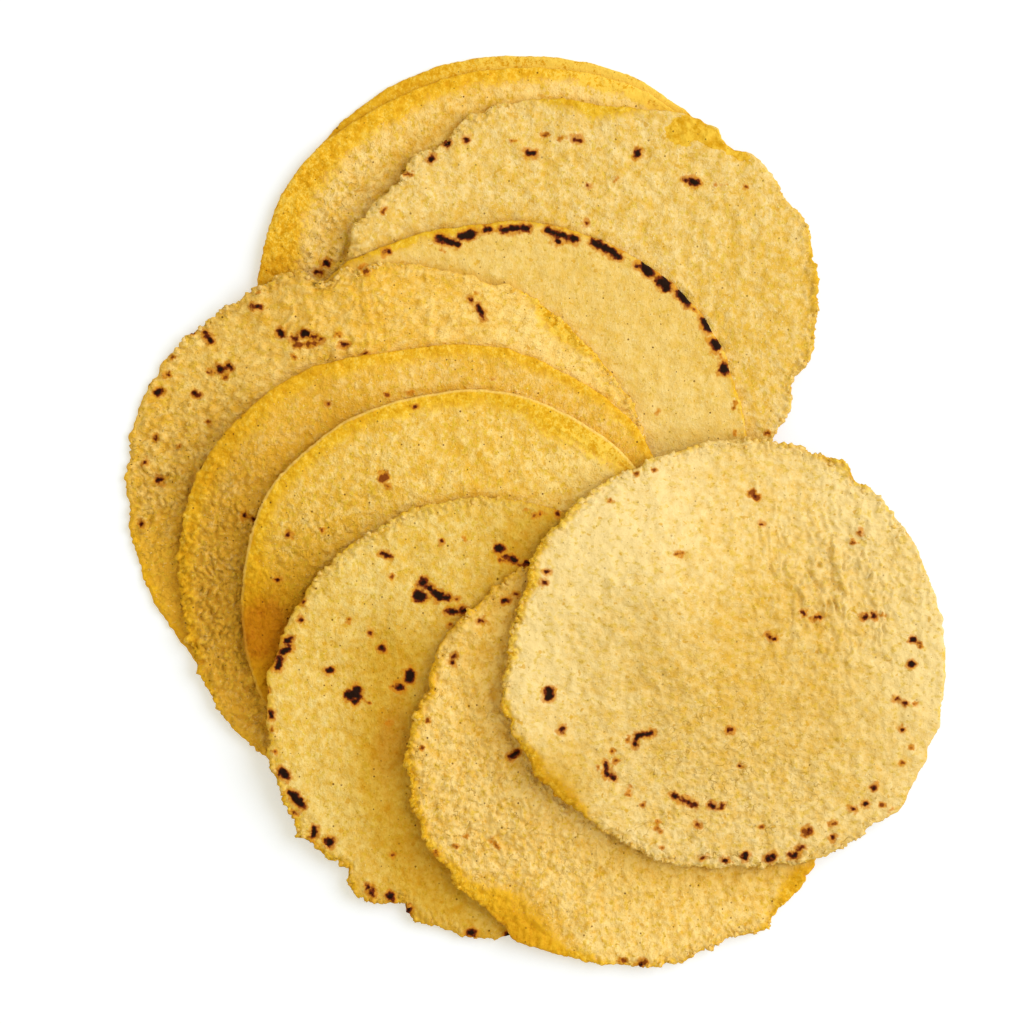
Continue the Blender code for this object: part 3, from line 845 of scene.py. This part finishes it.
def place_in_mm(tree):
    """Where each point lies, in millimetres."""
    here = tree.nodes.new("GeometryNodeInputPosition").outputs[0]
    return vector(tree, "SCALE", here, 1 / MM)


def push_out(tree, geometry, height):
    """Moves a surface out along its normals by a height in millimetres."""
    normal = tree.nodes.new("GeometryNodeInputNormal").outputs[0]
    offset = vector(tree, "SCALE", normal, times(tree, height, MM))
    return add(tree, "GeometryNodeSetPosition", {"Geometry": geometry, "Offset": offset}).outputs[0]


def end_tree(tree, geometry, material):
    """Ends a tree with real geometry in this material."""
    real = add(tree, "GeometryNodeRealizeInstances", {"Geometry": geometry}).outputs[0]
    coloured = add(tree, "GeometryNodeSetMaterial", {"Geometry": real, "Material": material})
    add(tree, "NodeGroupOutput", {0: coloured.outputs[0]})


# How far the relief's pattern is moved for each seed, and how long and wide a crease is.
SEED_STEPS = (37.0, 11.0)
CREASE_SIZE = (8.0, 3.4, 6.0)
PER_SQUARE_METRE = 10000.0


def relief_tree():
    """Geometry Nodes that raise the griddled skin: bubbles, blisters, creases and crumbly rims."""
    tree, given = new_tree(
        "griddle_relief",
        {
            "Bubble Height": 0.3,
            "Bubble Size": 3.6,
            "Blister Height": 0.0,
            "Blister Size": 3.0,
            "Crease Height": 0.0,
            "Crease Turn": 90.0,
            "Crumble Height": 0.7,
            "Peel Depth": 0.35,
            "Scorch Depth": 0.12,
        },
    )
    shift = {axis: times(tree, given["Seed"], step) for axis, step in enumerate(SEED_STEPS)}
    shift = add(tree, "ShaderNodeCombineXYZ", shift).outputs[0]
    place = vector(tree, "ADD", place_in_mm(tree), shift)

    def at_size(size):
        return vector(tree, "SCALE", place, calc(tree, "DIVIDE", 1.0, size))

    bubbles = noise(tree, at_size(given["Bubble Size"]), 1.0, 2.0)
    bubbles = total(tree, bubbles, times(tree, noise(tree, place, 9.0, 1.0), 1.2))
    blisters = lumps(tree, at_size(given["Blister Size"]), 1.0, 1.5)
    blisters = times(tree, blisters, named(tree, "blister"))
    inputs = {"Vector": place, "Angle": times(tree, given["Crease Turn"], -np.pi / 180)}
    turned = add(tree, "ShaderNodeVectorRotate", inputs, rotation_type="Z_AXIS").outputs[0]
    turned = wander(tree, turned, 9.0, 3.0)
    long_place = vector(tree, "MULTIPLY", turned, tuple(1 / size for size in CREASE_SIZE))
    creases = times(tree, lumps(tree, long_place, 1.0, 2.0), named(tree, "crease"))
    crumble = times(tree, lumps(tree, place, 2.5, 2.0), named(tree, "crumbly"))
    calm = calc(tree, "SUBTRACT", 1.0, rise(tree, named(tree, "band_mm"), 2.5, 6.0, 0.75))
    height = total(
        tree,
        times(tree, bubbles, given["Bubble Height"], calm),
        times(tree, blisters, given["Blister Height"]),
        times(tree, creases, given["Crease Height"]),
        times(tree, crumble, given["Crumble Height"]),
        times(tree, rise(tree, named(tree, "peel_mm"), -0.4, 0.4), given["Peel Depth"], -1.0),
        times(tree, rise(tree, named(tree, "scorch_mm"), -0.5, 0.7), given["Scorch Depth"], -1.0),
    )
    height = times(tree, height, named(tree, "upper"))
    end_tree(tree, push_out(tree, given["Geometry"], height), given["Material"])
    return tree


def crumb_tree():
    """Geometry Nodes that stick lumpy crumbs of dough to a crumbly rim."""
    tree, given = new_tree(
        "rim_crumbs",
        {
            "Crumbs per Square Centimetre": 17.0,
            "Smallest Radius": 0.35,
            "Largest Radius": 0.95,
            "Lumpiness": 0.45,
            "Sinking": 0.4,
        },
    )
    crowding = times(tree, named(tree, "crumbs"), given["Crumbs per Square Centimetre"])
    crowding = times(tree, crowding, PER_SQUARE_METRE)
    scattered = add(
        tree,
        "GeometryNodeDistributePointsOnFaces",
        {"Mesh": given["Geometry"], "Density": crowding, "Seed": given["Seed"]},
        distribute_method="RANDOM",
    )
    sunk = times(tree, given["Sinking"], -MM)
    sunk = vector(tree, "SCALE", scattered.outputs["Normal"], sunk)
    inputs = {"Geometry": scattered.outputs[0], "Offset": sunk}
    seated = add(tree, "GeometryNodeSetPosition", inputs)
    ball = add(tree, "GeometryNodeMeshUVSphere", {"Segments": 7, "Rings": 5, "Radius": 1.0})
    sizes = {
        2: times(tree, given["Smallest Radius"], MM),
        3: times(tree, given["Largest Radius"], MM),
        "Seed": given["Seed"],
    }
    size = add(tree, "FunctionNodeRandomValue", sizes, data_type="FLOAT")
    turns = {0: (0.0, 0.0, 0.0), 1: (6.28, 6.28, 6.28), "Seed": given["Seed"]}
    spin = add(tree, "FunctionNodeRandomValue", turns, data_type="FLOAT_VECTOR")
    inputs = {
        "Points": seated.outputs[0],
        "Instance": ball.outputs[0],
        "Rotation": spin.outputs[0],
        "Scale": size.outputs[1],
    }
    placed = add(tree, "GeometryNodeInstanceOnPoints", inputs)
    real = add(tree, "GeometryNodeRealizeInstances", {"Geometry": placed.outputs[0]}).outputs[0]
    lump = times(tree, noise(tree, place_in_mm(tree), 0.8, 1.0), given["Lumpiness"])
    smooth = add(tree, "GeometryNodeSetShadeSmooth", {"Geometry": push_out(tree, real, lump)})
    end_tree(tree, smooth.outputs[0], given["Material"])
    return tree


def grown(name, mesh, tree, **inputs):
    """The plain mesh that a Geometry Nodes tree makes of a mesh."""
    start = bpy.data.objects.new(name + "_start", mesh)
    bpy.context.scene.collection.objects.link(start)
    modifier = start.modifiers.new("made", "NODES")
    modifier.node_group = tree
    items = tree.interface.items_tree
    sockets = {item.name: item.identifier for item in items if item.in_out == "INPUT"}
    for key, value in inputs.items():
        modifier[sockets[key.replace("_", " ")]] = value
    bpy.context.view_layer.update()
    evaluated = start.evaluated_get(bpy.context.evaluated_depsgraph_get())
    result = bpy.data.meshes.new_from_object(evaluated)
    start.modifiers.remove(modifier)
    bpy.data.objects.remove(start)
    result.name = name
    return result


# ---------------------------------------------------------------- finishes

SKIN_DEEP = srgb(235, 184, 62)
SKIN_PALE = srgb(254, 224, 152)
OLIVE_GOLD = srgb(234, 195, 64)
CREVICE_SHADE = srgb(198, 150, 42)
FLECK_HIGHLIGHT = srgb(255, 238, 186)
GOLD = srgb(238, 187, 40)
GOLD_DEEP = srgb(220, 160, 12)
GOLD_PALE = srgb(250, 212, 92)
PEEL_GOLD = srgb(248, 200, 62)
MAIZE_SPOT = srgb(226, 170, 40)
DARK_DOT = srgb(112, 70, 18)
TOAST = srgb(212, 134, 20)
SINGED = srgb(122, 44, 8)
SCORCHED = srgb(36, 17, 10)
# Painted shade: the colour is multiplied by the first tint as far as the painted shade goes, and by
# the second where it goes past 1.
PAINTED_SHADE_TINT = (0.8, 0.68, 0.26, 1.0)
DEEPEST_SHADE_TINT = (0.85, 0.66, 0.5, 1.0)

# Sizes of what mottles the dough, and how much longer it is drawn along creases.
BROAD_SIZE = 8.0
PATCH_SIZE = 2.6
GRAIN_SIZE = 0.9
OLIVE_SIZE = 1.7
FLAKE_SIZE = 3.0
GRIT_SIZE = 0.45
MARK_RAGGEDNESS = 1.8
CREASED_STREAK = 1.4

# Dots of the husk: how far apart, the smallest radius, and what the largest has more.
DOT_SPACING = 2.7
DOT_RADIUS = 0.1
DOT_GROWTH = 0.3

# What the crumbs share with a disc, and how little of their dough is golden like the rim.
CRUMBS = Disc("rim_crumbs", "pale_dough", 20, crease_turn=0.0)
CRUMB_BAND_SHIFT = -1.5


def dough(name, disc, band_shift=0.0):
    """Griddled corn dough: pale grainy skin, golden rim, toasted spots and scorch marks, with
    painted shade and painted highlights.
    """
    material = bpy.data.materials.new(name)
    material.use_nodes = True
    tree = material.node_tree
    shader = tree.nodes["Principled BSDF"]

    def field(attribute):
        return add(tree, "ShaderNodeAttribute", attribute_name=attribute).outputs["Fac"]

    # The place in millimetres, and the same drawn out along the creases.
    place = add(tree, "ShaderNodeTexCoord").outputs["Object"]
    shift = (31.0 * disc.seed, 17.0 * disc.seed, 0.0)
    inputs = {"Vector": place, "Location": shift, "Scale": (1 / MM,) * 3}
    place = add(tree, "ShaderNodeMapping", inputs).outputs[0]
    streak = CREASED_STREAK if disc.creases else 1.0
    turn = (0, 0, -np.radians(disc.crease_turn))
    inputs = {"Vector": place, "Rotation": turn, "Scale": (1 / streak, 1, 1)}
    drawn = add(tree, "ShaderNodeMapping", inputs).outputs[0]

    broad = noise(tree, place, BROAD_SIZE, 2.0, 0.6)
    patch = noise(tree, drawn, PATCH_SIZE, 3.0, 0.65)
    grain = noise(tree, drawn, GRAIN_SIZE, 2.0, 0.7)

    # The pale skin: flakes, olive gold between them, fine grains and pale flecks. The crevice
    # colour is painted shade in the grooves of the bump relief, and the flecks are painted
    # highlights on its high points.
    level = total(
        tree,
        times(tree, broad, 0.15 * disc.mottle),
        times(tree, patch, 0.45 * disc.mottle),
        disc.tone,
        field("tint"),
    )
    skin = paint(tree, rise(tree, level, 0.0, 1.0), SKIN_DEEP, SKIN_PALE)
    olive = noise(tree, drawn, OLIVE_SIZE, 1.0)
    between = rise(tree, olive, 0.05, 0.9, min(0.7 * disc.mottle, 0.9))
    skin = paint(tree, between, skin, OLIVE_GOLD)
    # Painted shade: a darker gold where the grain sinks the bump relief.
    crevice_shade = rise(tree, total(tree, grain, times(tree, olive, 0.5)), 0.55, 1.1, 0.55)
    skin = paint(tree, crevice_shade, skin, CREVICE_SHADE)
    # Painted highlights: pale flecks on the high points of the bump relief.
    skin = paint(tree, rise(tree, grain, -0.4, -1.1, 0.7), skin, FLECK_HIGHLIGHT)

    edges = calc(tree, "ABSOLUTE", noise(tree, drawn, FLAKE_SIZE, 1.5, 0.6))
    flaky = total(tree, 0.15, field("blister"), field("crumbly"))
    some = rise(tree, noise(tree, place, 1.5 * FLAKE_SIZE), 0.0, 0.5)
    flakes = times(tree, rise(tree, edges, 0.09, 0.02), some, flaky)
    # Painted shade: flake edges, sunk in the relief, are darkened with the crevice colour.
    skin = paint(tree, times(tree, flakes, 0.6), skin, CREVICE_SHADE)

    # The golden rim, and the dough under a peeled skin.
    clear = rise(tree, total(tree, patch, times(tree, grain, 0.6)), -0.9, 0.2)
    gold = paint(tree, clear, GOLD_DEEP, GOLD)
    pale = rise(tree, total(tree, patch, grain, times(tree, field("tint"), 1.5)), 0.1, 1.1, 0.85)
    gold = paint(tree, pale, gold, GOLD_PALE)

    def frayed(depth, *weights):
        """A depth made uneven by so much of each of the three patterns."""
        waves = [times(tree, wave, weight) for wave, weight in zip((broad, patch, grain), weights)]
        return total(tree, depth, *waves)

    band_mm = total(tree, field("band_mm"), band_shift)
    band = rise(tree, frayed(band_mm, 1.6, 1.5, 0.7), -1.6, 1.4)
    surface = paint(tree, band, skin, gold)
    peel = rise(tree, frayed(field("peel_mm"), 1.6, 1.1, 0.4), -0.3, 0.2)
    peeled = paint(tree, rise(tree, patch, -0.6, 0.6), GOLD_DEEP, PEEL_GOLD)
    surface = paint(tree, peel, surface, peeled)
    # Painted highlight: a pale line along the very rim.
    if disc.pale_edge_highlight:
        inset = frayed(field("inset_mm"), 0.0, 0.225, 0.14)
        edge = rise(tree, inset, disc.pale_edge_highlight + 0.3, disc.pale_edge_highlight - 0.4, 0.5)
        surface = paint(tree, edge, surface, SKIN_PALE)

    # Golden spots and dark dots of the maize husk.
    golden = rise(tree, noise(tree, place, PATCH_SIZE, 1.5), 0.72, 0.95, 0.7)
    surface = paint(tree, golden, surface, MAIZE_SPOT)
    least, more = DOT_RADIUS / DOT_SPACING, DOT_GROWTH / DOT_SPACING
    inputs = {"Vector": place, "Scale": 1 / DOT_SPACING}
    cells = add(tree, "ShaderNodeTexVoronoi", inputs, feature="F1", voronoi_dimensions="2D")
    draw = add(tree, "ShaderNodeSeparateColor", {0: cells.outputs["Color"]})
    reach = total(tree, least, times(tree, calc(tree, "POWER", draw.outputs[0], 3.0), more))
    inside = calc(tree, "SUBTRACT", reach, cells.outputs["Distance"])
    depth = rise(tree, draw.outputs[1], 0.3, 1.0, 0.9)
    dotted = times(tree, rise(tree, inside, 0.0, least), depth, disc.dots)
    surface = paint(tree, dotted, surface, DARK_DOT)

    # Painted shade: the colour is darkened to a deeper gold beside higher rims and on slopes that
    # lean away from the key light, and each disc has a cast of its own.
    surface = dye(tree, field("painted_shade"), surface, PAINTED_SHADE_TINT)
    surface = dye(tree, 1.0, surface, (*disc.cast, 1.0))
    surface = dye(tree, rise(tree, field("painted_shade"), 1.0, 2.0), surface, DEEPEST_SHADE_TINT)

    # Browned and scorched spots: an uneven toasted halo, a singed ring and a black middle.
    uneven = noise(tree, place, MARK_RAGGEDNESS, 1.5, 0.5)
    ragged = total(tree, times(tree, uneven, 0.65), times(tree, grain, 0.12))
    scorch_mm = total(tree, field("scorch_mm"), ragged)
    toast_mm = total(tree, field("toast_mm"), times(tree, ragged, 1.2))
    halo_mm = total(tree, scorch_mm, times(tree, noise(tree, place, PATCH_SIZE), 0.5))
    halo = rise(tree, halo_mm, -1.35, -0.25, 0.8)
    toasted = rise(tree, toast_mm, -0.5, 0.4, 0.9)
    surface = paint(tree, calc(tree, "MAXIMUM", halo, toasted), surface, TOAST)
    singed = rise(tree, scorch_mm, -0.35, 0.35)
    browned = rise(tree, toast_mm, 0.35, 0.9, 0.85)
    surface = paint(tree, calc(tree, "MAXIMUM", singed, browned), surface, SINGED)
    scorch = rise(tree, scorch_mm, 0.15, 0.8)
    surface = paint(tree, scorch, surface, SCORCHED)

    # Fine grain, calmer on the smooth rim and stronger on blistered skin.
    smoothness = calc(tree, "MAXIMUM", band, peel)
    fine = total(
        tree,
        times(tree, patch, 0.13),
        times(tree, grain, -0.1),
        times(tree, noise(tree, place, GRIT_SIZE, 1.0), 0.028),
        times(tree, flakes, -0.09),
    )
    rough = total(tree, 1.0, times(tree, smoothness, -0.4), times(tree, field("blister"), 0.7))
    fine = times(tree, fine, disc.grit, rough)
    bump = add(tree, "ShaderNodeBump", {"Height": fine, "Strength": 1.0, "Distance": MM})
    tree.links.new(surface, shader.inputs["Base Color"])
    tree.links.new(bump.outputs[0], shader.inputs["Normal"])
    shine = total(tree, 0.66, times(tree, smoothness, -0.14), times(tree, scorch, 0.15))
    tree.links.new(shine, shader.inputs["Roughness"])
    shader.inputs["Specular IOR Level"].default_value = 0.1
    return material


FLOOR_REACH = 4.0
FLOOR_DROP = 0.0003
BOARD_COLOUR = (0.64, 0.72, 0.98, 1.0)


def plain_floor():
    """A plain pale surface, wide enough to fill every view."""
    mesh = bpy.data.meshes.new("floor")
    ways = ((-1, -1), (1, -1), (1, 1), (-1, 1))
    corners = [(FLOOR_REACH * x, FLOOR_REACH * y, 0) for x, y in ways]
    mesh.from_pydata(corners, [], [(0, 1, 2, 3)])
    floor = bpy.data.objects.new("floor", mesh)
    floor.location.z = -FLOOR_DROP
    bpy.context.scene.collection.objects.link(floor)
    material = bpy.data.materials.new("white_board")
    material.use_nodes = True
    shader = material.node_tree.nodes["Principled BSDF"]
    shader.inputs["Base Color"].default_value = BOARD_COLOUR
    shader.inputs["Roughness"].default_value = 0.9
    shader.inputs["Emission Color"].default_value = (1, 1, 1, 1)
    shader.inputs["Emission Strength"].default_value = FLOOR_GLOW
    mesh.materials.append(material)


# ---------------------------------------------------------------- light and camera

KEY_ELEVATION = 42.0
KEY_DISTANCE = 3.0
KEY_SIZE = 3.0
FILL_COLOUR = (1.0, 0.88, 0.52, 1.0)
VIEW_WIDTH = 0.338
VIEW_HEIGHT = 2.0
VIEW_CENTRE = (-0.0084, -0.0008)


def studio():
    """A wide soft light from one side, even light from all round, and a camera overhead."""
    light = bpy.data.lights.new("key", "AREA")
    light.shape = "DISK"
    light.size = KEY_SIZE
    climb, across = np.radians(KEY_ELEVATION), np.radians(KEY_DIRECTION)
    light.energy = KEY_SHARE * (np.pi * KEY_DISTANCE) ** 2 / np.sin(climb)
    lamp = bpy.data.objects.new("key", light)
    level = KEY_DISTANCE * np.cos(climb)
    height = KEY_DISTANCE * np.sin(climb)
    lamp.location = (level * np.cos(across), level * np.sin(across), height)
    lamp.rotation_euler = Vector(lamp.location).to_track_quat("Z", "Y").to_euler()
    bpy.context.scene.collection.objects.link(lamp)

    world = bpy.data.worlds.new("room")
    world.use_nodes = True
    world.node_tree.nodes["Background"].inputs[0].default_value = FILL_COLOUR
    world.node_tree.nodes["Background"].inputs[1].default_value = FILL_SHARE
    bpy.context.scene.world = world

    camera = bpy.data.cameras.new("camera")
    camera.sensor_width = 36.0
    camera.lens = camera.sensor_width * VIEW_HEIGHT / VIEW_WIDTH
    camera.clip_start, camera.clip_end = 0.05, 20.0
    eye = bpy.data.objects.new("camera", camera)
    eye.location = (*VIEW_CENTRE, VIEW_HEIGHT)
    eye.rotation_euler = Euler((0, 0, 0))
    bpy.context.scene.collection.objects.link(eye)
    bpy.context.scene.camera = eye
    bpy.context.scene.view_settings.view_transform = "Standard"


# ---------------------------------------------------------------- the stack

lowest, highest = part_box("tortilla_01")
THICKNESS = (highest.z - lowest.z) / MM


def place_piece(name, mesh, slot, *nodes):
    """Adds a finished piece, fixed to the stack's body and standing for these nodes."""
    piece = bpy.data.objects.new(name, mesh)
    bpy.context.scene.collection.objects.link(piece)
    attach(piece, BODY)
    if nodes:
        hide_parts(*nodes)
    return piece


def joined(name, meshes):
    """Several meshes as one."""
    whole = bmesh.new()
    for mesh in meshes:
        whole.from_mesh(mesh)
    result = bpy.data.meshes.new(name)
    whole.to_mesh(result)
    whole.free()
    result.shade_smooth()
    return result


def build():
    """Lays the discs on each other, then grows the skin and the crumbs of each."""
    pile, weave = Pile(), Weave()
    relief, crumbs = relief_tree(), crumb_tree()
    crumb_finish = dough("crumb_dough", CRUMBS, CRUMB_BAND_SHIFT)
    sheets = [Sheet(disc, pile, weave) for disc in DISCS]
    crumb_meshes = []
    for disc, sheet in zip(DISCS, sheets):
        finish = dough(disc.node + "_finish", disc)
        skin = grown(
            disc.node + "_dough",
            sheet.mesh(pile),
            relief,
            Bubble_Height=disc.bubbles,
            Blister_Height=disc.blisters,
            Crease_Height=disc.creases,
            Crease_Turn=disc.crease_turn,
            Seed=disc.seed,
            Material=finish,
        )
        if disc.crumbly:
            inputs = {"Seed": disc.seed, "Material": crumb_finish}
            crumb_meshes.append(grown(disc.node + "_crumbs", skin.copy(), crumbs, **inputs))
        place_piece(disc.node + "_dough", skin, disc.slot, disc.node)
    loose = joined(CRUMBS.node, crumb_meshes)
    loose.materials.clear()
    loose.materials.append(crumb_finish)
    place_piece(CRUMBS.node, loose, CRUMBS.slot)


build()
plain_floor()
studio()
